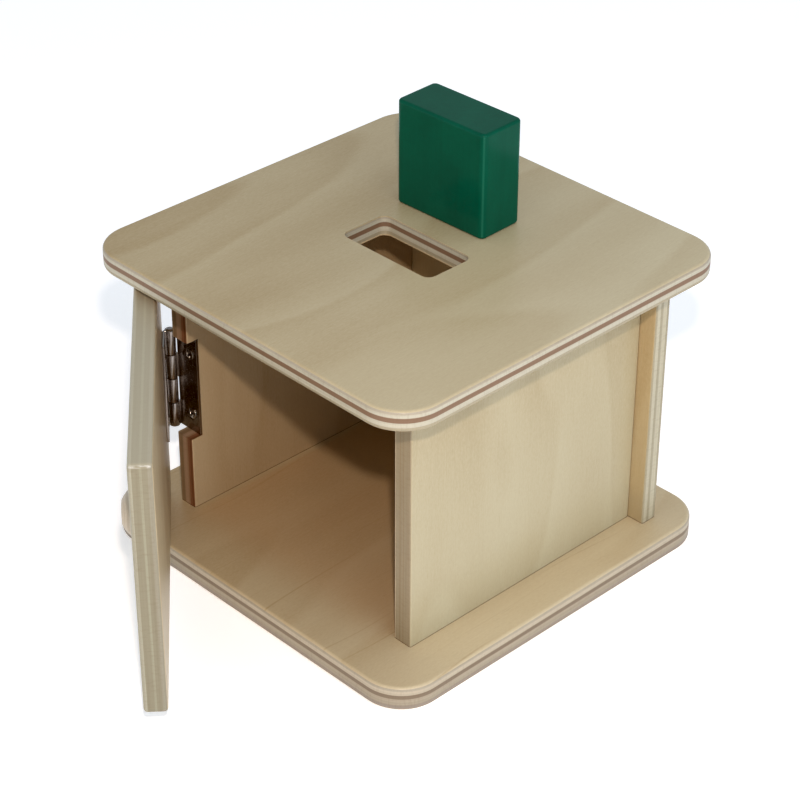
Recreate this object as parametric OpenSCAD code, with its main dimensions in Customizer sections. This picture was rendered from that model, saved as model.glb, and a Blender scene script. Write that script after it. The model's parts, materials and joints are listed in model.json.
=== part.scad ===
// Object permanence box: a small plywood box with a slot in its top plate, a door that
// turns on one butt hinge, and the painted block that is posted through the slot.
// The origin is the middle of the base plate's underside, the door is on the -Y side,
// +X is to the right of someone who faces the door, and +Z is up.

/* [Plates] */
// Width of the base plate and of the top plate, along X
plate_w = 170; // [155:1:200]
// Depth of both plates, along Y
plate_d = 169; // [155:1:200]
// Thickness of the base plate
base_t = 10.3; // [8:0.1:14]
// Thickness of the top plate
top_t = 8.3; // [7:0.1:14]
// Radius of the plates' corners, seen from above
plate_r = 17; // [6:1:24]
// Radius of the rounding all along the plates' edges
plate_ease = 1.6; // [0.6:0.2:3]

/* [Walls] */
// Height of the walls, which is the clear height between the plates
wall_h = 110; // [90:1:150]
// Thickness of the side walls
wall_t = 8.7; // [7.4:0.1:12]
// From the side edge of a plate to the outer face of the side wall
side_inset = 19.4; // [14:0.2:26]
// From the front edge of a plate to the front edges of the side walls
front_inset = 23.8; // [18:0.2:32]
// From the back edge of a plate to the back face of the back wall
back_inset = 17.8; // [10:0.2:24]
// Thickness of the back wall
back_t = 7.6; // [6:0.1:12]
// How far the back wall stands out past the outer face of each side wall
back_reach = 7.4; // [1:0.2:12]
// Radius of the rounding on the walls' upright edges
wall_ease = 0.8; // [0.2:0.1:1.4]

/* [Slot and block] */
// Length of the slot in the top plate, along X
slot_w = 46.6; // [30:0.2:70]
// Width of the slot, along Y
slot_d = 22.8; // [16:0.2:36]
// Radius of the slot's corners
slot_r = 3.6; // [1:0.2:6]
// Play between the block and the slot, all round
block_play = 0.9; // [0.4:0.1:3]
// Height of the block
block_h = 43.4; // [24:0.2:70]
// Radius of the block's upright edges
block_r = 2.4; // [1.4:0.1:4]
// Radius of the rounding on the block's top and bottom edges
block_ease = 1.2; // [0.4:0.1:1.3]
// From the middle of the slot back to the middle of the block
block_back = 32.7; // [28:0.2:44]
// From the middle of the slot to the middle of the block, along X
block_side = -5.8; // [-24:0.2:24]
// Turn of the block as it was put down, in degrees
block_turn = 1.7; // [-20:0.1:20]

/* [Door] */
// Thickness of the door
door_t = 8.7; // [8:0.1:12]
// Gap between the closed door and the front edges of the side walls
door_gap = 0.4; // [0.3:0.1:1.2]
// Gap between the door and the top plate
door_play = 3; // [1:0.1:6]
// Gap between the door and the base plate
door_lift = 1.2; // [0.6:0.1:6]
// How far the free edge of the closed door stands out past the right wall
door_reach = 2.8; // [0:0.2:8]
// How far the hinged edge of the door reaches past the hinge's axis
door_lap = 2.2; // [1:0.1:6]
// Radius of the door's corners
door_r = 2.4; // [2:0.1:6]
// Radius of the rounding all along the door's edges
door_ease = 1.4; // [0.4:0.1:1.9]
// Angle at which the door stands open, in degrees
door_angle = 39.8; // [0:0.1:170]

/* [Knob] */
// Diameter of the knob's head
knob_d = 19.5; // [14:0.5:26]
// How far the knob's head stands out from the door
knob_h = 5.6; // [4:0.2:8]
// Height of the straight rim under the knob's dome
knob_rim = 0.8; // [0.4:0.1:2]
// Diameter of the flat that is sanded on top of the dome
knob_flat_d = 9; // [2:0.2:12]
// From the free edge of the door to the middle of the knob
knob_inset = 48; // [14:0.2:60]
// Diameter of the peg that is turned on the knob and glued into the door
peg_d = 8; // [5:0.5:10]
// Depth that the peg reaches into the door
peg_depth = 6; // [3:0.2:6.6]

/* [Hinge] */
// Height of the hinge
hinge_h = 43.4; // [30:0.2:70]
// From the middle of the walls down to the middle of the hinge
hinge_drop = 0.9; // [-8:0.1:8]
// Thickness of a hinge leaf
leaf_t = 1; // [0.7:0.1:1.5]
// Diameter of the barrel, over the rolled knuckles
barrel_d = 4.2; // [3.8:0.1:5]
// Diameter of the hinge pin
pin_d = 2; // [1.4:0.1:2.2]
// From the outer face of the left wall to the hinge's axis
axis_out = 4.6; // [3:0.1:9]
// Depth of the notch in the wall that holds the closed hinge
notch_depth = 5.6; // [4.4:0.1:7]
// Gap above and under the hinge in its notch
notch_gap = 0.3; // [0.2:0.1:1]
// Gap between one knuckle and the next
knuckle_gap = 0.3; // [0.2:0.1:0.6]
// Distance between the two screws of a leaf
screw_pitch = 27; // [18:0.5:34]

/* [Screws and dowels] */
// Diameter of a screw's shank
screw_d = 2.5; // [1.8:0.1:2.8]
// Diameter of a screw's countersunk head
head_d = 4.5; // [3.6:0.1:5]
// Length of a screw, with its head
screw_len = 8; // [6:0.1:8.2]
// Diameter of the glued dowels that join the walls to the plates
dowel_d = 5; // [3:0.2:5.6]
// Depth that a dowel reaches into a plate
dowel_in_plate = 5; // [3:0.2:6]
// Depth that a dowel reaches into a wall
dowel_in_wall = 12; // [8:0.5:20]

/* [Hidden] */
$fn = 64;

// Running clearance of the pin in its knuckles, and of the screws, dowels and peg in their holes
fit = 0.05;
// Space left at the closed end of a blind hole
hole_end = 0.4;
// How far a cutting tool runs past the face that it cuts
overrun = 1;

// Heights and places of the box
top_z = base_t + wall_h;
wall_out_x = plate_w / 2 - side_inset;
wall_front_y = front_inset - plate_d / 2;
back_face_y = plate_d / 2 - back_inset;
side_back_y = back_face_y - back_t;
side_d = side_back_y - wall_front_y;
back_w = 2 * (wall_out_x + back_reach);

// The block is the slot's size less its play
block_w = slot_w - 2 * block_play;
block_d = slot_d - 2 * block_play;

// The hinge's axis stands halfway between the notch's floor and the door's inner face
wall_mid_z = base_t + wall_h / 2;
hinge_z = wall_mid_z - hinge_drop;
axis_x = -wall_out_x - axis_out;
leaf_seat = (notch_depth + door_gap) / 2;
axis_y = wall_front_y + notch_depth - leaf_seat;
leaf_w = axis_out + wall_t - notch_gap;
screw_x = axis_out + wall_t / 2;
knuckle_count = 4;
knuckle_pitch = (hinge_h + knuckle_gap) / knuckle_count;
knuckle_h = knuckle_pitch - knuckle_gap;
// The sheet leaves the barrel at the height of its rim, and its step to the seat ends here
step_run = 0.4;
step_x = barrel_d / 2 + step_run;
// The end of the rolled sheet stops short of the leaf by this seam, at this angle
seam = 0.2;
seam_angle = 36;
// The pin's riveted ends, with their diameters as shares of the barrel's
cap_h = 0.5;
cap_share = 0.8;
cap_top_share = 0.5;

// Door, in the place that it has when it is closed
door_x0 = axis_x - door_lap;
door_x1 = wall_out_x + door_reach;
door_w = door_x1 - door_x0;
door_h = wall_h - door_play - door_lift;
door_mid_z = base_t + door_lift + door_h / 2;
knob_x = door_x1 - knob_inset;

// The knob's dome is a ball's cap, from the rim up to the edge of the flat
dome_z = (pow(knob_flat_d / 2, 2) + pow(knob_h, 2) - pow(knob_d / 2, 2) - pow(knob_rim, 2))
    / (2 * (knob_h - knob_rim));
dome_r = norm([knob_d / 2, knob_rim - dome_z]);

// Screws: a 90 degree head, and a point as long as the shank is thick
head_h = (head_d - screw_d) / 2;
point_h = screw_d;
tip_share = 0.15;
recess_w_share = 0.16;
recess_l_share = 0.62;
recess_h_share = 0.6;

// Where the dowels stand along each wall, as shares of its length
dowel_shares = [0.14, 0.5, 0.86];
// Chamfer of a dowel's and a peg's ends, as a share of their diameter
chamfer_share = 0.12;

birch = [0.80, 0.71, 0.54];
steel = [0.30, 0.29, 0.29];
green = [0.05, 0.33, 0.23];
beech = [0.78, 0.60, 0.40];

// A rectangle with rounded corners, about the origin
module round_rect(w, d, r) {
    square([w - 2 * r, d], center = true);
    square([w, d - 2 * r], center = true);
    for (sx = [-1, 1], sy = [-1, 1])
        translate([sx * (w / 2 - r), sy * (d / 2 - r)]) circle(r);
}

// Section through the rim of a board, whose outer corners are rounded
module rim_section(r, t, ease) {
    intersection() {
        translate([0, t / 2]) round_rect(2 * r, t, ease);
        square([r, t]);
    }
}

// A flat board about the origin, t thick upwards, whose corners have the radius r
// and whose edges are all rounded to the radius ease
module eased_board(w, d, t, r, ease) {
    corners = [[1, 1], [-1, 1], [-1, -1], [1, -1]];
    translate([r - w / 2, 0, t / 2]) rotate([90, 0, 90])
        linear_extrude(w - 2 * r) round_rect(d, t, ease);
    translate([0, d / 2 - r, t / 2]) rotate([90, 0, 0])
        linear_extrude(d - 2 * r) round_rect(w, t, ease);
    for (i = [0:3])
        translate([corners[i].x * (w / 2 - r), corners[i].y * (d / 2 - r), 0])
            rotate([0, 0, 90 * i]) rotate_extrude(angle = 90) rim_section(r, t, ease);
}

// A wall between the plates, about the origin, with its upright edges rounded
module wall(w, d) {
    linear_extrude(wall_h) round_rect(w, d, wall_ease);
}

module left_place() {
    translate([wall_t / 2 - wall_out_x, wall_front_y + side_d / 2, base_t]) children();
}

module right_place() {
    mirror([1, 0, 0]) left_place() children();
}

module back_place() {
    translate([0, back_face_y - back_t / 2, base_t]) children();
}

// Where the dowels stand, in the middle of each wall's thickness
dowel_places = [
    for (side = [-1, 1], s = dowel_shares)
        [side * (wall_out_x - wall_t / 2), wall_front_y + side_d * s],
    for (s = dowel_shares) [back_w * (s - 1 / 2), back_face_y - back_t / 2]
];

// A dowel with chamfered ends, from z = -dowel_in_plate up to dowel_in_wall
module dowel() {
    chamfer = dowel_d * chamfer_share;
    translate([0, 0, -dowel_in_plate]) {
        cylinder(h = chamfer, d1 = dowel_d - 2 * chamfer, d2 = dowel_d);
        translate([0, 0, chamfer])
            cylinder(h = dowel_in_plate + dowel_in_wall - 2 * chamfer, d = dowel_d);
        translate([0, 0, dowel_in_plate + dowel_in_wall - chamfer])
            cylinder(h = chamfer, d1 = dowel_d, d2 = dowel_d - 2 * chamfer);
    }
}

module dowel_hole() {
    translate([0, 0, -dowel_in_plate - hole_end])
        cylinder(h = dowel_in_plate + dowel_in_wall + 2 * hole_end, d = dowel_d + 2 * fit);
}

// The joints with the base plate point up, and those with the top plate point down
module at_base_dowels() {
    for (p = dowel_places) translate([p.x, p.y, base_t]) children();
}

module at_top_dowels() {
    for (p = dowel_places) translate([p.x, p.y, top_z]) mirror([0, 0, 1]) children();
}

module dowel_holes() {
    at_base_dowels() dowel_hole();
    at_top_dowels() dowel_hole();
}

// The hinge is drawn about its axis, with the leaf towards +X and its seat towards +Y
module on_wall() {
    translate([axis_x, axis_y, hinge_z]) children();
}

// Turns what is drawn in the closed door's place to the angle at which the door stands
module opened() {
    translate([axis_x, axis_y, 0]) rotate([0, 0, -door_angle])
        translate([-axis_x, -axis_y, 0]) children();
}

module on_door() {
    opened() on_wall() mirror([0, 1, 0]) children();
}

// The middle of the knob's seat on the door's outer face, with +Z out of the door
module at_knob() {
    opened() translate([knob_x, wall_front_y - door_gap - door_t, wall_mid_z])
        rotate([90, 0, 0]) children();
}

module at_screws() {
    for (side = [-1, 1])
        translate([screw_x, leaf_seat - leaf_t, side * screw_pitch / 2]) rotate([-90, 0, 0]) children();
}

// A countersunk screw with its head's face at the origin and its point towards +Z
module screw() {
    difference() {
        union() {
            cylinder(h = head_h, d1 = head_d, d2 = screw_d);
            translate([0, 0, head_h]) cylinder(h = screw_len - head_h - point_h, d = screw_d);
            translate([0, 0, screw_len - point_h])
                cylinder(h = point_h, d1 = screw_d, d2 = screw_d * tip_share);
        }
        for (turn = [45, 135]) rotate([0, 0, turn])
            cube([head_d * recess_l_share, head_d * recess_w_share, 2 * head_h * recess_h_share],
                center = true);
    }
}

module screw_hole() {
    cylinder(h = head_h, d1 = head_d + 2 * fit, d2 = screw_d + 2 * fit);
    cylinder(h = screw_len + hole_end, d = screw_d + 2 * fit);
}

// Section of a leaf where it has no knuckle
module leaf_section() {
    translate([step_x, leaf_seat - leaf_t]) square([leaf_w - step_x, leaf_t]);
}

// Section of a leaf whose sheet steps down to the barrel and is rolled round the pin
module knuckle_section() {
    rim = barrel_d / 2;
    difference() {
        circle(rim);
        circle(pin_d / 2 + fit);
        rotate(seam_angle) translate([0, -seam / 2]) square([barrel_d, seam]);
    }
    polygon([[0, rim - leaf_t], [step_x, leaf_seat - leaf_t], [step_x, leaf_seat], [0, rim]]);
    leaf_section();
}

// A hinge leaf; first is the number, from below, of its lowest knuckle
module leaf(first) {
    difference() {
        union() {
            translate([0, 0, -hinge_h / 2]) linear_extrude(hinge_h) leaf_section();
            for (i = [first:2:knuckle_count - 1])
                translate([0, 0, i * knuckle_pitch - hinge_h / 2])
                    linear_extrude(knuckle_h) knuckle_section();
        }
        at_screws() screw_hole();
    }
}

module pin_cap() {
    cylinder(h = cap_h, d1 = barrel_d * cap_share, d2 = barrel_d * cap_top_share);
}

module base_plate() {
    color(birch) difference() {
        eased_board(plate_w, plate_d, base_t, plate_r, plate_ease);
        dowel_holes();
    }
}

module top_plate() {
    color(birch) difference() {
        translate([0, 0, top_z]) eased_board(plate_w, plate_d, top_t, plate_r, plate_ease);
        translate([0, 0, top_z - overrun])
            linear_extrude(top_t + 2 * overrun) round_rect(slot_w, slot_d, slot_r);
        dowel_holes();
    }
}

// The left wall carries the hinge in a notch cut through its front edge
module left_wall() {
    notch_h = hinge_h + 2 * notch_gap;
    color(birch) difference() {
        left_place() wall(wall_t, side_d);
        translate([-wall_out_x - overrun, wall_front_y - overrun, hinge_z - notch_h / 2])
            cube([wall_t + 2 * overrun, notch_depth + overrun, notch_h]);
        on_wall() at_screws() screw_hole();
        dowel_holes();
    }
}

module right_wall() {
    color(birch) difference() {
        right_place() wall(wall_t, side_d);
        dowel_holes();
    }
}

module back_wall() {
    color(birch) difference() {
        back_place() wall(back_w, back_t);
        dowel_holes();
    }
}

module base_dowels() {
    color(beech) at_base_dowels() dowel();
}

module top_dowels() {
    color(beech) at_top_dowels() dowel();
}

module door() {
    color(birch) difference() {
        opened() translate([door_x0 + door_w / 2, wall_front_y - door_gap, door_mid_z])
            rotate([90, 0, 0]) eased_board(door_w, door_h, door_t, door_r, door_ease);
        on_door() at_screws() screw_hole();
        at_knob() translate([0, 0, -peg_depth - hole_end])
            cylinder(h = peg_depth + hole_end + overrun, d = peg_d + 2 * fit);
    }
}

// A turned knob with a domed head, and its peg with a chamfered end
module knob() {
    chamfer = peg_d * chamfer_share;
    color(beech) at_knob() {
        rotate_extrude() intersection() {
            translate([0, dome_z]) circle(dome_r);
            square([knob_d / 2, knob_h]);
        }
        translate([0, 0, chamfer - peg_depth]) cylinder(h = peg_depth - chamfer, d = peg_d);
        translate([0, 0, -peg_depth]) cylinder(h = chamfer, d1 = peg_d - 2 * chamfer, d2 = peg_d);
    }
}

module hinge_wall_leaf() {
    color(steel) on_wall() leaf(0);
}

module hinge_door_leaf() {
    color(steel) on_door() leaf(1);
}

// The pin runs through all the knuckles and is riveted over at both ends
module hinge_pin() {
    color(steel) on_wall() {
        cylinder(h = hinge_h + 2 * fit, d = pin_d, center = true);
        for (end = [0, 1]) mirror([0, 0, end]) translate([0, 0, hinge_h / 2 + fit]) pin_cap();
    }
}

module wall_leaf_screws() {
    color(steel) on_wall() at_screws() screw();
}

module door_leaf_screws() {
    color(steel) on_door() at_screws() screw();
}

module block() {
    color(green) translate([block_side, block_back, top_z + top_t]) rotate([0, 0, block_turn])
        eased_board(block_w, block_d, block_h, block_r, block_ease);
}

base_plate();
top_plate();
left_wall();
right_wall();
back_wall();
base_dowels();
top_dowels();
door();
knob();
hinge_wall_leaf();
hinge_door_leaf();
hinge_pin();
wall_leaf_screws();
door_leaf_screws();
block();
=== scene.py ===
# %% [markdown]
# # A posting box of plywood
#
# The box is a toy for a small child. A painted block is posted through the slot in
# the top plate, drops into the box, and is taken out again at the door.
#
# The boards, the hinge and the block come in as finished solids, packed with the
# bodies and joints that they move on. This script gives each of them the finish of
# the real thing, and replaces the few whose small curves deserve a finer mesh.
# Everything is in metres, and the middle of the base plate's underside is the origin.

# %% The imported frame
import json
import math
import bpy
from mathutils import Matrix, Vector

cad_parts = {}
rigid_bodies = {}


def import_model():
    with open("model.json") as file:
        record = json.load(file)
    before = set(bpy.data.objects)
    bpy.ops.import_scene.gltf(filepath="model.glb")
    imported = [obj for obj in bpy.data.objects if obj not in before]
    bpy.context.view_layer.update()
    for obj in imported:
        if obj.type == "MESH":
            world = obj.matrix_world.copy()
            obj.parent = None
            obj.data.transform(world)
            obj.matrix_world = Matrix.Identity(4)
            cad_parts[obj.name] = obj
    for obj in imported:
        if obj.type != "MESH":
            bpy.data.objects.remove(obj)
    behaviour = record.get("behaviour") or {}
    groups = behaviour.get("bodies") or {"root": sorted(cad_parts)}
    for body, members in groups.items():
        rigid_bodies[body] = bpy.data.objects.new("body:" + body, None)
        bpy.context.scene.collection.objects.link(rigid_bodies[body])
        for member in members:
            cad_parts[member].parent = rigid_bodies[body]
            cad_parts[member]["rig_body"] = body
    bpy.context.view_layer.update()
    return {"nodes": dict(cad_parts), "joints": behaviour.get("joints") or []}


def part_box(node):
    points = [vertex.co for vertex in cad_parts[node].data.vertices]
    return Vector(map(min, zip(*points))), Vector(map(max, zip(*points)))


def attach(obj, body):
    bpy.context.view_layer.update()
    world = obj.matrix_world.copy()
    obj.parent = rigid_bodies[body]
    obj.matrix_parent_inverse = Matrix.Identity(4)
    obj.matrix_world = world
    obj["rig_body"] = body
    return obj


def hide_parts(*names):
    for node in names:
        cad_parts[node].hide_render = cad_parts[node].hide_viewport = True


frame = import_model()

from types import SimpleNamespace
import bmesh
import bpy
from mathutils import Matrix, Vector

MM = 0.001


print("nodes:", ", ".join(sorted(frame["nodes"])))

# %% [markdown]
# ## The view
#
# The photograph was taken from almost a metre away, looking down at 33 degrees, with a
# long lens, so the box's edges hardly draw together. It matches 109 mm on a full frame.
# A camera can be aimed by eye, but then no edge quite meets its place in the photograph.
# This one's three directions were solved from the straight edges of both plates and of
# the right wall. They are unit vectors, so they go straight into the camera's matrix.

# %% The camera
camera_place = Vector((563.953, -547.727, 568.649)) * MM
camera_right = Vector((0.693597, 0.720359, 0.002506))
camera_down = Vector((0.392427, -0.374926, -0.839900))
camera_forward = Vector((-0.604090, 0.583535, -0.542736))
focal_pixels = 2425.8
picture_pixels = 800
sensor_width = 36.0
farthest_seen = 100

camera_data = bpy.data.cameras.new("studio_camera")
camera_data.sensor_width = sensor_width
camera_data.lens = focal_pixels / picture_pixels * sensor_width
camera_data.clip_end = farthest_seen
camera = bpy.data.objects.new("studio_camera", camera_data)
turn = Matrix((camera_right, -camera_down, -camera_forward)).transposed()
camera.matrix_world = Matrix.Translation(camera_place) @ turn.to_4x4()
bpy.context.scene.collection.objects.link(camera)
bpy.context.scene.camera = camera
print("lens, mm:", round(camera_data.lens, 2), "distance, m:", round(camera_place.length, 2))

# %% [markdown]
# ## The floor and the light
#
# The box was photographed in a bright white studio, with a flash just above the lens.
# The flash's place was solved from three shadows of the top plate, on the floor inside
# the box and on both side walls, and from the bright patch that it throws through the
# slot. It is small and close, so the shadows are crisp and the light fades to the back.
# The white studio fills the shadows, and one soft lamp at the side lifts the right wall.
# The view's gamma and black level give the picture the contrast of the photograph.

# %% Floor, flash and fill
flash_place = (0.560, -0.525, 0.673)
flash_watts = 16.0
flash_radius = 0.014
flash_colour = (1.0, 0.84, 0.72)
side_place = (1.15, -0.15, 0.75)
side_watts = 3.4
side_width = 0.9
side_colour = (0.88, 1.0, 1.16)
view_gamma = 0.84
black_level = (0.0, 0.007, 0.009)
floor_half = 6.0
floor_drop = 0.02 * MM


def lamp_at(name, kind, place, energy, colour):
    """A lamp at that place in metres, turned towards the box."""
    lamp = bpy.data.objects.new(name, bpy.data.lights.new(name, kind))
    lamp.location = place
    lamp.rotation_mode = "QUATERNION"
    lamp.rotation_quaternion = (-Vector(place)).to_track_quat("-Z", "Y")
    lamp.data.energy = energy
    lamp.data.color = colour
    lamp.visible_camera = False
    bpy.context.scene.collection.objects.link(lamp)
    return lamp.data


lamp_at("flash", "POINT", flash_place, flash_watts, flash_colour).shadow_soft_size = flash_radius
lamp_at("side_light", "AREA", side_place, side_watts, side_colour).size = side_width

view = bpy.context.scene.view_settings
view.view_transform = "Standard"
view.gamma = view_gamma
view.use_curve_mapping = True
view.curve_mapping.black_level = black_level
view.curve_mapping.update()

shape = bmesh.new()
bmesh.ops.create_grid(shape, x_segments=1, y_segments=1, size=floor_half)
bmesh.ops.translate(shape, verts=shape.verts, vec=(0, 0, -floor_drop))
floor_mesh = bpy.data.meshes.new("studio_floor")
shape.to_mesh(floor_mesh)
shape.free()
floor = bpy.data.objects.new("studio_floor", floor_mesh)
bpy.context.scene.collection.objects.link(floor)
print("flash:", flash_watts, "W, floor:", 2 * floor_half, "m wide")

# %% [markdown]
# ## A way to write finishes
#
# A finish is a sum of patterns: streaks, fibres, pores, wear. Wiring those up node
# by node hides the idea, so a small class wraps a node's output and lets Python's
# own signs add the Math nodes. `1 - mask` then reads as it would on paper.
# Every other node comes from one method, which sets the node up before it is wired.


# %% The wire class
class Wire:
    """One output in a finish's node tree, which can be used like a number."""

    def __init__(self, tree, socket=None):
        self.tree = tree
        self.socket = socket

    def node(self, kind, settings=None, sockets=None, out=0):
        """Adds a node, sets it up, then fills or wires its sockets."""
        new = self.tree.nodes.new("ShaderNode" + kind)
        for name, value in (settings or {}).items():
            if name == "stops":
                for place, _ in value[2:]:
                    new.color_ramp.elements.new(place)
                for stop, (place, colour) in zip(new.color_ramp.elements, value):
                    stop.position = place
                    stop.color = (*colour, 1)
            else:
                setattr(new, name, value)
        for name, value in (sockets or {}).items():
            if isinstance(value, Wire):
                self.tree.links.new(value.socket, new.inputs[name])
            else:
                new.inputs[name].default_value = value
        return Wire(self.tree, new.outputs[out] if new.outputs else None)

    def maths(self, operation, *values, clamp=False):
        settings = {"operation": operation, "use_clamp": clamp}
        return self.node("Math", settings, dict(enumerate(values)))

    def __add__(self, other):
        return self.maths("ADD", self, other)

    def __sub__(self, other):
        return self.maths("SUBTRACT", self, other)

    def __rsub__(self, other):
        return self.maths("SUBTRACT", other, self)

    def __mul__(self, other):
        return self.maths("MULTIPLY", self, other)

    def __truediv__(self, other):
        return self.maths("DIVIDE", self, other)

    def __rtruediv__(self, other):
        return self.maths("DIVIDE", other, self)

    def __abs__(self):
        return self.maths("ABSOLUTE", self)

    __radd__ = __add__
    __rmul__ = __mul__

    def clip(self):
        return self.maths("ADD", self, 0.0, clamp=True)

    def fraction(self):
        return self.maths("FRACT", self)

    def zigzag(self):
        """Falls from 1 to 0 and rises to 1 again, once for each whole number."""
        return abs(self.fraction() * 2 - 1)

    def step(self, low, high):
        """0 below low, 1 above high, and a smooth rise between them."""
        sockets = {0: self, 1: low, 2: high, 3: 0.0, 4: 1.0}
        return self.node("MapRange", {"interpolation_type": "SMOOTHSTEP"}, sockets)

    def ramp(self, stops):
        """A colour that follows the value, from a rising list of (place, colour)."""
        return self.node("ValToRGB", {"stops": stops}, {0: self})

    def mix(self, other, share):
        """This colour with a share of another one, a wire or a red, green and blue."""
        if not isinstance(other, Wire):
            other = (*other, 1)
        # The Mix node keeps its colours in sockets 6 and 7 and gives theirs at output 2.
        return self.node("Mix", {"data_type": "RGBA"}, {0: share, 6: self, 7: other}, out=2)


print("finishes are written with", Wire.__name__)

# %% [markdown]
# ## The white around the box
#
# The studio is brightest near the floor and dimmer overhead. That is why the right
# wall looks brighter than the top plate, and why the paint's top face stays dark.
# A picture of a studio could light the box too, but two whites and a ramp between them
# are enough, and they need no file.

# %% The world
sky_stops = [(0.0, (0.72, 0.80, 0.86)), (0.9, (0.47, 0.51, 0.55))]

world = bpy.data.worlds.new("studio_white")
world.use_nodes = True
world.node_tree.nodes.clear()
sky = Wire(world.node_tree)
sky_up = sky.node("SeparateXYZ", None, {0: sky.node("TexCoord", out="Generated")}, out=2)
background = sky.node("Background", None, {"Color": sky_up.ramp(sky_stops)})
sky.node("OutputWorld", None, {"Surface": background})
bpy.context.scene.world = world
print("world:", world.name, "with", len(world.node_tree.nodes), "nodes")

# %% [markdown]
# ## A finish's start and end
#
# All patterns are read from Object coordinates, which for these parts are simply
# metres in the row's frame. The patterns here are written in millimetres instead,
# because a wood fibre or a scratch has a size that a maker knows in millimetres.
# The far end of every finish is one Principled shader with a Bump node.


# %% Start and end of a finish
def rgb(red, green, blue):
    """A colour as a picture program gives it, 0 to 255, turned into shader values."""
    shares = [value / 255 for value in (red, green, blue)]
    return tuple(s / 12.92 if s <= 0.04045 else ((s + 0.055) / 1.055) ** 2.4 for s in shares)


def new_finish(name):
    """A material with an empty node tree, and a wire to start from."""
    material = bpy.data.materials.new(name)
    material.use_nodes = True
    material.node_tree.nodes.clear()
    return material, Wire(material.node_tree)


def in_millimetres(start, middle=(0, 0, 0), turned=0.0):
    """x, y and z wires in mm from a middle, after turning the pattern about Z."""
    back = Matrix.Rotation(turned, 3, "Z") @ -Vector(middle)
    placed = start.node("Mapping", {"vector_type": "POINT"}, {
        "Vector": start.node("TexCoord", out="Object"),
        "Location": back / MM,
        "Rotation": (0, 0, turned),
        "Scale": (1 / MM, 1 / MM, 1 / MM),
    })
    return [placed.node("SeparateXYZ", None, {0: placed}, out=k) for k in range(3)]


def pattern(x, y, z, sizes, seed, detail=2.0, roughness=0.5):
    """Noise from 0 to 1 whose cells have those sizes in mm along x, y and z."""
    cells = {k: wire / size for k, (wire, size) in enumerate(zip((x, y, z), sizes))}
    where = x.node("CombineXYZ", None, cells)
    sockets = {"Vector": where, "W": seed, "Scale": 1.0, "Detail": detail,
               "Roughness": roughness}
    return x.node("TexNoise", {"noise_dimensions": "4D"}, sockets, out="Fac")


def end_finish(start, colour, roughness, height, constants, bump_mm, bump):
    """Wires colour, roughness and height to the shader; constants sit on its sockets."""
    sockets = {"Height": height, "Distance": bump_mm * MM, "Strength": bump}
    raised = start.node("Bump", None, sockets)
    sockets = {"Base Color": colour, "Roughness": roughness, "Normal": raised, **constants}
    shader = start.node("BsdfPrincipled", None, sockets)
    start.node("OutputMaterial", None, {"Surface": shader})


print("pale wood as shader values:", [round(v, 3) for v in rgb(190, 178, 150)])

# %% [markdown]
# ## Plywood
#
# Plywood is sheets of veneer glued crosswise. A face shows the long, soft streaks of
# wood peeled off a log. A sawn edge shows the sheets as lines: pale where the fibres
# run along the edge, brown where they are cut across, with thin glue lines between.
#
# Painting faces and edges as separate materials would need seams exactly on the
# rounded arrises. Here one finish fills the whole board as a solid: it works out how
# deep a point lies in the board's thickness, and shows the sheet found at that depth.
# A slot or a notch cut into the board then shows the right sheets by itself.
#
# A stack lists the sheets of one board: the depth at which each starts, as a share of
# the thickness, and its colour.

# %% The sheets of each board
face_sheet = rgb(196, 181, 150)
pale_sheet = rgb(194, 188, 170)
rosy_sheet = rgb(202, 186, 162)
brown_sheet = rgb(138, 113, 92)
grey_sheet = rgb(180, 170, 153)
shaded_red_sheet = rgb(153, 110, 84)

# In the top plate's stack, the darker band from 0.09 to 0.25 is painted shade on the plate's
# lower rounding, where the edge turns down away from the light.
top_stack = [
    (0.0, face_sheet), (0.09, rgb(172, 162, 139)), (0.25, pale_sheet), (0.47, brown_sheet),
    (0.70, pale_sheet), (0.87, grey_sheet),
]
base_stack = [
    (0.0, rgb(158, 147, 134)), (0.27, rgb(170, 159, 140)), (0.41, rgb(176, 164, 145)),
    (0.53, rgb(139, 124, 105)), (0.70, rgb(193, 182, 162)), (0.87, grey_sheet),
]
right_edge, right_line, right_rim = rgb(166, 153, 129), rgb(159, 142, 116), rgb(167, 153, 129)
right_stack = [
    (0.0, rosy_sheet), (0.12, right_edge), (0.34, right_line), (0.40, right_edge),
    (0.54, right_line), (0.58, right_edge), (0.80, right_rim),
]
# The left wall's sheets are painted darker and redder than the right wall's: painted shade on
# its front edge.
left_shaded_stack = [
    (0.0, rgb(183, 166, 137)), (0.12, rgb(158, 136, 110)), (0.36, rgb(186, 160, 136)),
    (0.60, rgb(174, 144, 118)), (0.70, shaded_red_sheet), (0.84, rgb(130, 90, 64)),
]
back_pale, back_line = rgb(193, 186, 164), rgb(170, 162, 140)
back_stack = [
    (0.0, back_line), (0.10, back_pale), (0.32, back_line), (0.50, back_pale),
    (0.79, back_line),
]
door_pale, door_dull = rgb(174, 169, 150), rgb(150, 143, 122)
door_stack = [
    (0.0, door_pale), (0.18, door_dull), (0.48, rgb(162, 158, 137)), (0.58, door_dull),
    (0.80, rgb(158, 152, 134)),
]
print("sheets: top", len(top_stack), "base", len(base_stack), "right", len(right_stack),
      "left", len(left_shaded_stack), "back", len(back_stack), "door", len(door_stack))

# %% [markdown]
# ## The peeled face
#
# A peeled face is a sum of patterns at several sizes: broad soft streaks a finger
# wide, the flames of the growth rings, slow blotches, fine fibres, and flecks. Short
# pores and a few long dark threads lie over them. Most are noise stretched along the
# grain. The flames come from taking only the fraction of a stretched noise, as a map's
# contour lines come from height. A picture of wood would repeat or stretch, and these
# patterns run on round every edge.

# %% Patterns in wood
sway_mm = 16
ring_levels = 6


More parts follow.
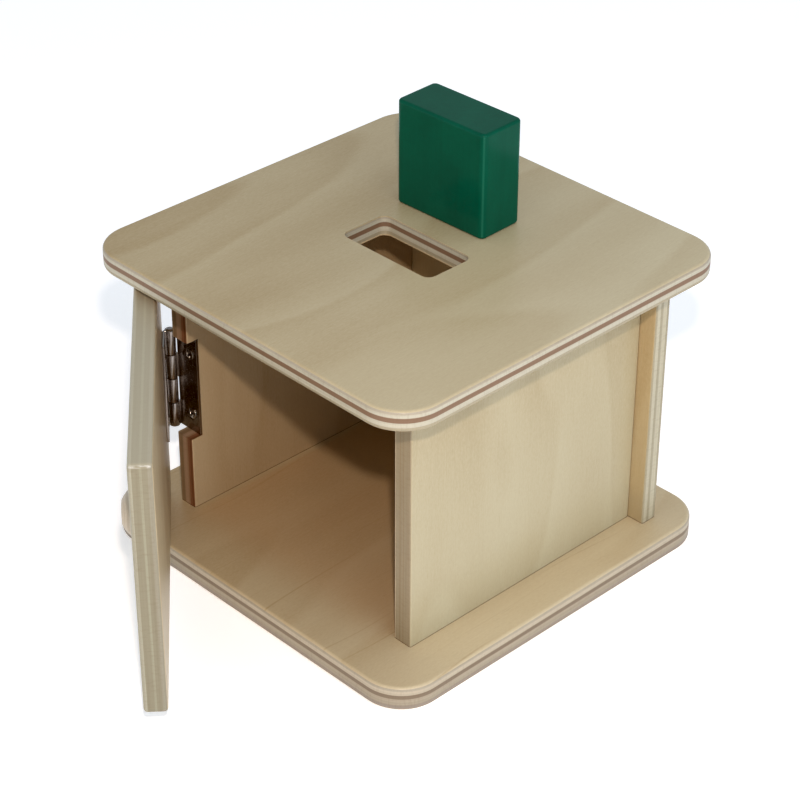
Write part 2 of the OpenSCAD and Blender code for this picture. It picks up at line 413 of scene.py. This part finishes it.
def wood_patterns(along, side, deep, seed):
    """The patterns of a peeled sheet by name, each from 0 to 1."""
    sway = (pattern(along, side, deep, (110, 50, 60), seed + 1, 1.0) - 0.5) * sway_mm
    bent = side + sway
    levels = pattern(along, bent, deep, (230, 62, 60), seed + 3, 1.0) * ring_levels
    rings = levels.fraction()
    return SimpleNamespace(
        broad=pattern(along, bent, deep, (420, 24, 60), seed, 2.0),
        rings=rings * (1 - rings.step(0.8, 1.0)),
        fibres=pattern(along, side, deep, (24, 0.6, 0.8), seed + 5, 2.0, 0.6),
        flecks=pattern(along, side, deep, (1.6, 0.45, 0.6), seed + 19, 2.0, 0.7),
        blotch=pattern(along, side, deep, (70, 36, 36), seed + 7, 2.0),
        threads=pattern(along, bent, deep, (150, 1.8, 6), seed + 9, 1.0).step(0.66, 0.78),
        pores=pattern(along, side, deep, (7, 0.35, 0.5), seed + 11, 1.0).step(0.66, 0.76),
    )


print("growth rings sway by up to", sway_mm / 2, "mm")

# %% [markdown]
# ## The sawn edge
#
# The sheets show as lines along a sawn edge. Each blends into the next over a hair's
# breadth. Short saw strokes and long streaks darken them in places. The door's upper
# end is painted paler, and its free top corner has a painted white highlight, where the
# flash glints on the arris.

# %% Sheets, strokes and wear
sheet_blend = 0.022
worn_brown, stroke_wear, streak_wear = rgb(112, 88, 60), 0.6, 0.7
# The door's top end is painted paler, and its free top corner gets a painted white highlight.
top_end_pale, top_end_pale_share = rgb(218, 210, 188), 0.42
painted_glint_white, painted_glint_share = rgb(255, 253, 250), 0.8


def sheets(depth, stack):
    """The colour of the sheet at a depth from 0 to 1."""
    stops = [stack[0]]
    for start, colour in stack[1:]:
        stops += [(start - sheet_blend, stops[-1][1]), (start, colour)]
    return depth.ramp(stops)


def sawn_edge(along, side, deep, depth, stack, seed, head):
    """The sheets with their wear, and on the door's head a top end painted paler and a painted
    highlight at its free top corner. head is the height of the board's top and its free end.
    """
    strokes = pattern(along, side, deep, (0.8, 0.8, 3), seed + 15, 2.0, 0.6)
    streaks = pattern(along, side, deep, (70, 70, 0.9), seed + 17, 3.0, 0.65)
    worn = (0.5 - strokes).clip() * stroke_wear + (0.55 - streaks).clip() * streak_wear
    edge = sheets(depth, stack).mix(worn_brown, worn)
    if head is None:
        return edge
    # The steps below are in mm down from the top and in from the free end.
    top, free_end = head
    top_end = along.step(top - 1.2, top - 0.2)
    # The door's top end is painted paler.
    edge = edge.mix(top_end_pale, top_end * top_end_pale_share)
    # Painted highlight: white dots along the free top corner, where the flash glints on the
    # arris.
    painted_glint_rim = top_end * (1 - along.step(top - 0.45, top - 0.1))
    painted_glint_rim = painted_glint_rim * side.step(free_end - 1.5, free_end - 0.7)
    return edge.mix(painted_glint_white, painted_glint_rim * strokes.step(0.42, 0.58) * painted_glint_share)


print("sheets blend over", sheet_blend, "of the thickness")

# %% [markdown]
# ## Face and edge together
#
# The face's colour runs from a darker to a paler wood, with painted shading that makes it
# slowly paler or darker across and along the board. Painted shade makes the base plate's
# face warmer and darker inside the box and some faces inside the box browner, and lays a
# thin dark line in the crease where a wall meets a plate. A clear satin lacquer covers it all.

# %% Plywood
wood_shades = ((0.0, (176, 155, 117)), (0.5, (197, 182, 149)), (1.0, (210, 199, 169)))
thread_brown = rgb(168, 140, 98)
pore_brown, pore_share = rgb(150, 126, 90), 0.16
# Painted shade: a warmer, darker floor inside the box, browner faces inside it, and dark creases
# at the walls' joints.
painted_floor_shade_warm, painted_floor_shade_share = rgb(196, 138, 84), 0.2
painted_inside_shade_tan, painted_inside_shade_share = rgb(178, 138, 98), 0.5
crease_shade_brown, crease_shade_share = rgb(96, 70, 44), 0.75
floor_shade_fade_mm, floor_shade_start_mm, floor_shade_full_mm = 4, -14, 10
crease_shade_full_mm, crease_shade_gone_mm = 0.12, 0.45
sheet_wander = 0.035
skin_blend = 0.02
lacquer = {"Coat Weight": 0.2, "Coat Roughness": 0.2, "Specular IOR Level": 0.35}


def tinted(colour, tone):
    """A colour whose red, green and blue are each scaled by the board's own tone."""
    return tuple(part * share for part, share in zip(rgb(*colour), tone))


def painted_floor_shade(along, side, blotch, used):
    """How much painted shade the floor inside the box gets. used is its reach, sideways and
    forwards.
    """
    sideways, forwards = used
    painted_lighting = 1 - abs(side).step(sideways - floor_shade_fade_mm, sideways)
    painted_lighting = painted_lighting * along.step(forwards + floor_shade_start_mm, forwards + floor_shade_full_mm)
    return painted_lighting * (0.5 + blotch)


def painted_crease_shade(along, foot):
    """1 in the painted shade of the creases at both heights, 0 elsewhere."""
    nearest = along.maths("MINIMUM", abs(along - foot[0]), abs(along - foot[1]))
    return 1 - nearest.step(crease_shade_full_mm, crease_shade_gone_mm)


def plywood(name, grain, across, low, high, stack, seed, tone, foot=None, figure=0.5,
            threads=0.1, inner=None, lean=0.0, rise=0.0, flames=0.2, used=None, turned=0.0,
            head=None, skin=0.05):
    """A board's finish. grain and across are axis numbers; low and high its two faces.

    foot is the heights of the board's joints, whose creases get painted shade, and head its
    free top and end. figure, flames, threads, lean and rise are the strengths of the streaks,
    the growth rings, the fine dark threads and the painted shading across and along, which
    stands in for how the light falls over the board. inner is the depth of the face inside
    the box, which is painted browner as shade, and skin that of the face's own sheet. used
    is the reach of the painted shade on the floor inside the box.
    """
    material, start = new_finish(name)
    axes = in_millimetres(start, turned=turned)
    along, side, deep = axes[grain], axes[across], axes[3 - grain - across]
    depth = (deep - low) / (high - low)
    wander = pattern(along, side, deep, (34, 34, 200), seed + 13, 1.0)
    uneven = depth + (wander - 0.5) * sheet_wander
    wood = wood_patterns(along, side, deep, seed)

    shade = 0.5 + (wood.broad - 0.5) * figure + (wood.rings - 0.4) * flames
    shade = shade + (wood.fibres - 0.5) * 0.24 + (wood.flecks - 0.5) * 0.5
    shade = shade + (wood.blotch - 0.5) * 0.35
    middle = sum(foot) / 2 if foot else 0.0
    # Painted light: lean and rise make the board slowly paler or darker across and along it, as
    # the light falls unevenly over it.
    shade = (shade + side * lean + (along - middle) * rise).clip()
    face = shade.ramp([(place, tinted(colour, tone)) for place, colour in wood_shades])
    face = face.mix(thread_brown, wood.threads * threads)
    face = face.mix(pore_brown, wood.pores * pore_share)
    # Painted shade: the base plate's face inside the box turns warmer and darker.
    if used:
        painted_lighting = painted_floor_shade(along, side, wood.blotch, used)
        face = face.mix(painted_floor_shade_warm, painted_lighting * painted_floor_shade_share)
    # Painted shade: the faces inside the box are painted browner.
    if inner is not None:
        painted_inside_shade = 1 - abs(depth - inner).step(0.005, 0.03)
        face = face.mix(painted_inside_shade_tan, painted_inside_shade * painted_inside_shade_share)

    edge = sawn_edge(along, side, deep, uneven, stack, seed, head)
    cut = uneven.step(skin - skin_blend, skin)
    cut = cut * (1 - uneven.step(1 - skin - skin_blend, 1 - skin))
    colour = face.mix(edge, cut)
    # Painted shade in the creases where a wall meets a plate.
    if foot:
        colour = colour.mix(crease_shade_brown, painted_crease_shade(along, foot) * crease_shade_share)

    roughness = 0.44 + (wood.fibres - 0.5) * 0.16 + (wood.blotch - 0.5) * 0.1 + cut * 0.12
    height = wood.fibres * 0.6 - wood.pores * 0.5
    end_finish(start, colour, roughness, height, lacquer, bump_mm=0.015, bump=0.6)
    return material


print("plywood is one finish per board")

# %% [markdown]
# ## One finish for each board
#
# Every board was cut from another place in the sheet, so each gets its own seed.
# On the plates the grain runs from the front to the back, on the walls upwards. The
# boards stand in a table, so one loop dresses them all and each row shows what is
# special about its board.


# %% The boards
def paint(node, material):
    """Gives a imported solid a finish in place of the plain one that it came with."""
    slots = frame["nodes"][node].data.materials
    slots.clear()
    slots.append(material)


def face_pair(node, axis):
    """The places in mm of a solid's two ends along an axis."""
    low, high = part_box(node)
    return low[axis] / MM, high[axis] / MM


X_AXIS, Y_AXIS, Z_AXIS = 0, 1, 2
floor_z = face_pair("base_plate", Z_AXIS)[1]
ceiling_z = face_pair("top_plate", Z_AXIS)[0]
wall_foot = (floor_z, ceiling_z)
# How far the painted shade on the floor inside the box reaches: sideways to the right wall's
# inner face, forwards to its front.
floor_shade_area = (face_pair("right_wall", X_AXIS)[0], face_pair("right_wall", Y_AXIS)[0])
# In this table lean and rise are painted shading, and inner and used place painted shade inside
# the box.
boards = {
    "base_plate": (Y_AXIS, X_AXIS, base_stack, 4.0, (1.05, 1.045, 1.09), {
        "figure": 0.45, "flames": 0.22, "threads": 0.35, "lean": 0.0016, "used": floor_shade_area}),
    "top_plate": (Y_AXIS, X_AXIS, top_stack, 21.0, (0.985, 0.985, 0.997), {
        "figure": 0.3, "flames": 0.26, "threads": 0.05, "lean": 0.0026, "rise": 0.001,
        "inner": 0.0}),
    # The left wall's tone is partly its own and partly painted shade, which reddens its face
    # inside the box.
    "left_wall": (Z_AXIS, Y_AXIS, left_shaded_stack, 41.0, (0.92, 0.86, 0.86), {
        "foot": wall_foot, "figure": 0.4, "skin": 0.02}),
    "right_wall": (Z_AXIS, Y_AXIS, right_stack, 61.0, (0.87, 0.91, 0.955), {
        "foot": wall_foot, "figure": 0.3, "threads": 0.06, "rise": -0.004, "inner": 0.0,
        "skin": 0.02}),
    "back_wall": (Z_AXIS, X_AXIS, back_stack, 81.0, (0.94, 0.89, 0.83), {
        "foot": wall_foot, "figure": 0.4, "skin": 0.02}),
}
for node, (grain, across, stack, seed, tone, look) in boards.items():
    low, high = face_pair(node, 3 - grain - across)
    finish = plywood(node + "_plywood", grain, across, low, high, stack, seed, tone, **look)
    paint(node, finish)
    print(node, "faces at", round(low, 1), round(high, 1), "mm")

# %% [markdown]
# ## The open door
#
# The door stands open, so its finish is turned back by the same angle: the pattern
# then lies straight on the door however the door's solid stands in space.

# %% The door's board
door_hinge = next(j for j in frame["joints"] if j["name"] == "door_hinge")
door_open = math.radians(-door_hinge["range_deg"][0])
pivot = Vector(door_hinge["pos_m"])
turn_back = Matrix.Rotation(door_open, 3, "Z")
door_points = [turn_back @ v.co for v in frame["nodes"]["door"].data.vertices]
door_low = min(p.y for p in door_points) / MM
door_high = max(p.y for p in door_points) / MM
door_head = face_pair("door", Z_AXIS)[1], max(p.x for p in door_points) / MM
door_wood = plywood("door_plywood", Z_AXIS, X_AXIS, door_low, door_high, door_stack, 101.0,
                    (1.05, 1.05, 1.11), figure=0.6, turned=door_open, head=door_head,
                    skin=0.02)
paint("door", door_wood)
print("door is", round(door_high - door_low, 2), "mm thick, open by",
      round(math.degrees(door_open), 1), "degrees")

# %% [markdown]
# ## The smaller woods
#
# The knob is turned from a round stick, so its rings go round its own axis and its
# flat end shows them as faint circles. The dowels are raw and dull. A Wave texture can
# draw rings too. Here they are the distance from the axis, made a little uneven and
# folded up and down, which shows what a growth ring is.

# %% Turned wood and dowels
ring_unevenness_mm = 2.4
rings_per_mm = 0.62


def turned_wood(name, seed, pale, dark, coat, middle, spin, turned=0.0):
    """Rings go round the spin axis, an axis number, through the middle."""
    material, start = new_finish(name)
    axes = in_millimetres(start, middle, turned)
    x, y, z = axes
    first, second = (axes[k] for k in range(3) if k != spin)
    radius = start.maths("SQRT", first * first + second * second)
    uneven = pattern(x, y, z, (9, 9, 9), seed, 2.0) * ring_unevenness_mm
    rings = ((radius + uneven) * rings_per_mm).zigzag()
    fibre_sizes = [14 if k == spin else 0.5 for k in range(3)]
    fibres = pattern(x, y, z, fibre_sizes, seed + 2, 2.0, 0.6)
    shade = (0.5 + (rings - 0.5) * 0.45 + (fibres - 0.5) * 0.5).clip()
    colour = shade.ramp([(0.0, dark), (1.0, pale)])
    roughness = 0.45 + (fibres - 0.5) * 0.2
    constants = {"Coat Weight": coat, "Coat Roughness": 0.2}
    end_finish(start, colour, roughness, fibres, constants, bump_mm=0.02, bump=0.5)
    return material


def middle_of(node):
    """The middle of a solid's box, in metres."""
    low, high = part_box(node)
    return (Vector(low) + Vector(high)) / 2


knob_middle = middle_of("knob")
knob_wood = turned_wood("knob_turned_wood", 5.0, rgb(205, 193, 173), rgb(177, 161, 137), 0.3,
                        knob_middle, Y_AXIS, door_open)
dowel_wood = turned_wood("dowel_raw_wood", 9.0, rgb(200, 172, 130), rgb(168, 136, 94), 0.0,
                         (0, 0, 0), Z_AXIS)
paint("knob", knob_wood)
for node in ("base_dowels", "top_dowels"):
    paint(node, dowel_wood)
print("knob's middle, mm:", [round(c / MM, 1) for c in knob_middle])

# %% [markdown]
# ## Steel
#
# The hinge is steel with a dark nickel coat, polished, so it mirrors the studio: hard
# bright lines beside nearly black ones. The wear is faint: fine scratches and a duller
# film. The screws are a brighter nickel, with painted shade where the cross is cut into
# their heads.
# The shine could be painted on, but the door moves, so the shader is a true metal, and
# the lamps and the studio show in it wherever it turns.

# %% Hinge and screws
# Painted shade: the dark colour in the cross of the screw heads.
painted_recess_shade_dark = rgb(40, 36, 32)
screw_dark, screw_light = rgb(168, 164, 158), rgb(220, 216, 210)
screw_seat_mm = 2.0


def steel(name, colour_dark, colour_light, seed, scratch, recess=None):
    """recess is how far in mm behind the hinge's axis, and which way, the screw heads lie,
    and the turn of the leaf: what lies deeper than that, in the cross, gets painted shade
    and is rougher."""
    material, start = new_finish(name)
    x, y, z = in_millimetres(start)
    film = pattern(x, y, z, (9, 9, 9), seed, 3.0, 0.6)
    brushed = pattern(x, y, z, (0.12, 0.12, 7), seed + 2, 2.0)
    crossed = pattern(x, y, z, (2.5, 2.5, 0.10), seed + 4, 2.0).step(0.62, 0.74)
    shade = (0.5 + (film - 0.5) * 0.9 + (brushed - 0.5) * 0.3 + crossed * scratch).clip()
    colour = shade.ramp([(0.0, colour_dark), (1.0, colour_light)])
    roughness = 0.2 + (film - 0.5) * 0.12 + (brushed - 0.5) * 0.08 + crossed * 0.1
    if recess:
        seat, side, turned = recess
        deep = in_millimetres(start, pivot, turned)[1] * side - seat
        # Painted shade in the cross, deeper than the head's face; it is also rougher there.
        painted_recess_shade = deep.step(-0.02, 0.12)
        colour = colour.mix(painted_recess_shade_dark, painted_recess_shade * 0.9)
        roughness = roughness + painted_recess_shade * 0.3
    end_finish(start, colour, roughness, brushed + crossed, {"Metallic": 1.0}, bump_mm=0.004,
               bump=0.5)
    return material


nickel = steel("dark_nickel_steel", rgb(126, 120, 116), rgb(178, 172, 166), 3.0, 0.2)
wall_screw_nickel = steel("wall_screw_nickel", screw_dark, screw_light, 13.0, 0.3,
                          (screw_seat_mm, 1, 0.0))
door_screw_nickel = steel("door_screw_nickel", screw_dark, screw_light, 14.0, 0.3,
                          (screw_seat_mm, -1, door_open))
print("steel finishes:", nickel.name, wall_screw_nickel.name, door_screw_nickel.name)

# %% [markdown]
# ## Finer steel
#
# A hinge is stamped from sheet, tumbled and plated, so none of its edges is truly
# sharp, and those small roundings are what glint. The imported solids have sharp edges,
# because the simulation has no use for more. Each one is copied, its loose triangles
# are merged into one skin, flat faces are joined, and a Bevel modifier rounds what is
# left sharp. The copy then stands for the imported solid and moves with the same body.
#
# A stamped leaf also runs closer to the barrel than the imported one, whose wide gap would
# show the floor as a white slit, so the inner edge of each leaf is moved inwards first.

# %% Copies with rounded edges
merge_distance = 0.0005 * MM
flat_angle = math.radians(0.5)
sharp_angle = math.radians(28)
edge_round = 0.12 * MM
same_place = 0.02 * MM
leaf_start = 2.5 * MM
leaf_reach = 1.1 * MM


def merged_copy(node):
    """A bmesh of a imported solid, with its loose triangles merged into whole faces."""
    shape = bmesh.new()
    shape.from_mesh(frame["nodes"][node].data)
    bmesh.ops.remove_doubles(shape, verts=shape.verts, dist=merge_distance)
    bmesh.ops.dissolve_limit(shape, angle_limit=flat_angle, verts=shape.verts,
                             edges=shape.edges)
    return shape


def finish_copy(shape, node, name, finish):
    """Turns the bmesh into the shown piece, rounds its edges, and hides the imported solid."""
    mesh = bpy.data.meshes.new(name)
    shape.to_mesh(mesh)
    shape.free()
    mesh.polygons.foreach_set("use_smooth", [True] * len(mesh.polygons))
    mesh.materials.append(finish)
    piece = bpy.data.objects.new(name, mesh)
    bpy.context.scene.collection.objects.link(piece)
    edges = piece.modifiers.new("rounded_edges", "BEVEL")
    edges.width = edge_round
    edges.segments = 2
    edges.limit_method = "ANGLE"
    edges.angle_limit = sharp_angle
    edges.harden_normals = True
    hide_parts(node)
    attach(piece, frame["nodes"][node]["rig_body"])
    print(name, "has", len(mesh.polygons), "faces before its edges are rounded")


def bring_to_barrel(shape, turned):
    """Moves a leaf's inner edge towards the barrel; turned is the leaf's angle."""
    turn = Matrix.Rotation(turned, 3, "Z")
    back = turn.inverted()
    inner = [p for p in shape.verts
             if abs((back @ (p.co - pivot)).x - leaf_start) < same_place]
    bmesh.ops.translate(shape, verts=inner, vec=turn @ Vector((-leaf_reach, 0, 0)))
    print(len(inner), "points of the leaf's inner edge moved")


for node, turned in (("hinge_wall_leaf", 0.0), ("hinge_door_leaf", -door_open)):
    shape = merged_copy(node)
    bring_to_barrel(shape, turned)
    finish_copy(shape, node, node + "_plated", nickel)
finish_copy(merged_copy("hinge_pin"), "hinge_pin", "hinge_pin_plated", nickel)

# %% [markdown]
# ## Screws with raised heads
#
# The screws have raised countersunk heads: a low dome stands out of the countersink
# and catches the light as a small bright spot, with the cross cut dark into it.
# A new screw could be spun from a profile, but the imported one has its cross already,
# and only its head is flat. So that face is cut finer and its points are lifted along
# the screw's axis, most in the middle and least at the rim, which makes the dome.

# %% Raised screw heads
screw_across = 8.95 * MM
screw_seat = screw_seat_mm * MM
screw_pitch = 27 * MM
head_radius = 2.25 * MM
dome_height = 0.38 * MM
rim_height = 0.2 * MM


def on_head(point, middle, outward):
    """Whether a point lies on the flat head that has this middle."""
    away = point.co - middle
    out = away.dot(outward)
    return abs(out) < same_place and (away - outward * out).length < head_radius * 1.01


def raised_screws(node, name, side, turned, finish):
    """side is 1 for the wall's leaf and -1 for the door's; turned is the leaf's angle."""
    turn = Matrix.Rotation(turned, 3, "Z")
    outward = turn @ Vector((0, -side, 0))
    shape = merged_copy(node)
    lifted = 0
    for level in (-0.5, 0.5):
        middle = turn @ Vector((screw_across, side * screw_seat, 0)) + pivot
        middle.z = pivot.z + level * screw_pitch
        head = [face for face in shape.faces
                if all(on_head(p, middle, outward) for p in face.verts)]
        head = bmesh.ops.triangulate(shape, faces=head)["faces"]
        around = {edge for face in head for edge in face.edges}
        edges = [edge for edge in shape.edges if edge in around]
        bmesh.ops.subdivide_edges(shape, edges=edges, cuts=3, use_grid_fill=True)
        for point in [p for p in shape.verts if on_head(p, middle, outward)]:
            radius = (point.co - middle).length
            point.co += outward * (rim_height + dome_height * (1 - (radius / head_radius) ** 2))
            lifted += 1
    print(name, "has", lifted, "points lifted")
    finish_copy(shape, node, name, finish)


raised_screws("wall_leaf_screws", "wall_leaf_raised_screws", 1, 0.0, wall_screw_nickel)
raised_screws("door_leaf_screws", "door_leaf_raised_screws", -1, -door_open, door_screw_nickel)

# %% [markdown]
# ## Green paint
#
# The block was dipped or sprayed in a dark green gloss paint, which settles in a faint
# orange peel. Each upright edge gets a painted highlight: a paler green line, where the
# rounded edge mirrors the bright floor. It could be painted on by hand, but the block is a
# plain box: read from its own middle and turned with it, the distances to two of its faces
# find each upright edge.

# %% The painted block
block_turn = math.radians(1.7)
paint_dark, paint_light = rgb(0, 80, 64), rgb(2, 104, 82)
# Painted highlight: the paler green of the upright edges.
painted_highlight_green = rgb(60, 140, 118)


def green_paint(name, seed, middle, turned, width, depth):
    """width and depth are the block's, in mm, for the painted highlight on its upright edges."""
    material, start = new_finish(name)
    x, y, z = in_millimetres(start, middle, turned)
    peel = pattern(x, y, z, (1.6, 1.6, 1.6), seed, 1.0)
    wood_under = pattern(x, y, z, (1.1, 1.1, 30), seed + 2, 2.0)
    film = pattern(x, y, z, (14, 14, 22), seed + 4, 2.0)
    shade = 0.5 + (film - 0.5) * 0.8 + (wood_under - 0.5) * 0.3 + (peel - 0.5) * 0.25
    colour = shade.clip().ramp([(0.0, paint_dark), (1.0, paint_light)])
    # Painted highlight along each upright edge.
    painted_lighting = (abs(x) - width / 2 + (abs(y) - depth / 2)).step(-1.5, -1.42)
    colour = colour.mix(painted_highlight_green, painted_lighting * 0.28)
    roughness = 0.16 + (film - 0.5) * 0.1 + (peel - 0.5) * 0.04
    end_finish(start, colour, roughness, peel * 0.7 + wood_under * 0.5,
               {"Specular IOR Level": 0.14}, bump_mm=0.008, bump=0.5)
    return material


block_middle = middle_of("block")
turn_back = Matrix.Rotation(-block_turn, 3, "Z")
block_points = [turn_back @ (v.co - block_middle) for v in frame["nodes"]["block"].data.vertices]
block_width = 2 * max(p.x for p in block_points) / MM
block_depth = 2 * max(p.y for p in block_points) / MM
block_gloss = green_paint("block_green_gloss", 17.0, block_middle, -block_turn, block_width,
                          block_depth)
paint("block", block_gloss)
print("block is", round(block_width, 2), "by", round(block_depth, 2), "mm")

# %% [markdown]
# ## The studio floor
#
# A sheet of white paper, matt, with nothing on it but a hint of tooth. A stronger lamp
# would make it whiter but wash out the box, so instead it glows a little, and stays
# nearly as white as the background of the photograph.

# %% The floor's paper
paper, start = new_finish("studio_paper")
x, y, z = in_millimetres(start)
tooth = pattern(x, y, z, (3, 3, 3), 2.0, 2.0)
tint = tooth.ramp([(0.0, (0.92, 0.91, 0.92)), (1.0, (0.94, 0.93, 0.94))])
glow = {"Specular IOR Level": 0.1, "Emission Color": (1.0, 0.99, 0.99, 1),
        "Emission Strength": 0.38}
end_finish(start, tint, 0.8 + tooth * 0.1, tooth, glow, bump_mm=0.01, bump=0.2)
floor_mesh.materials.append(paper)
print("floor is paper white")
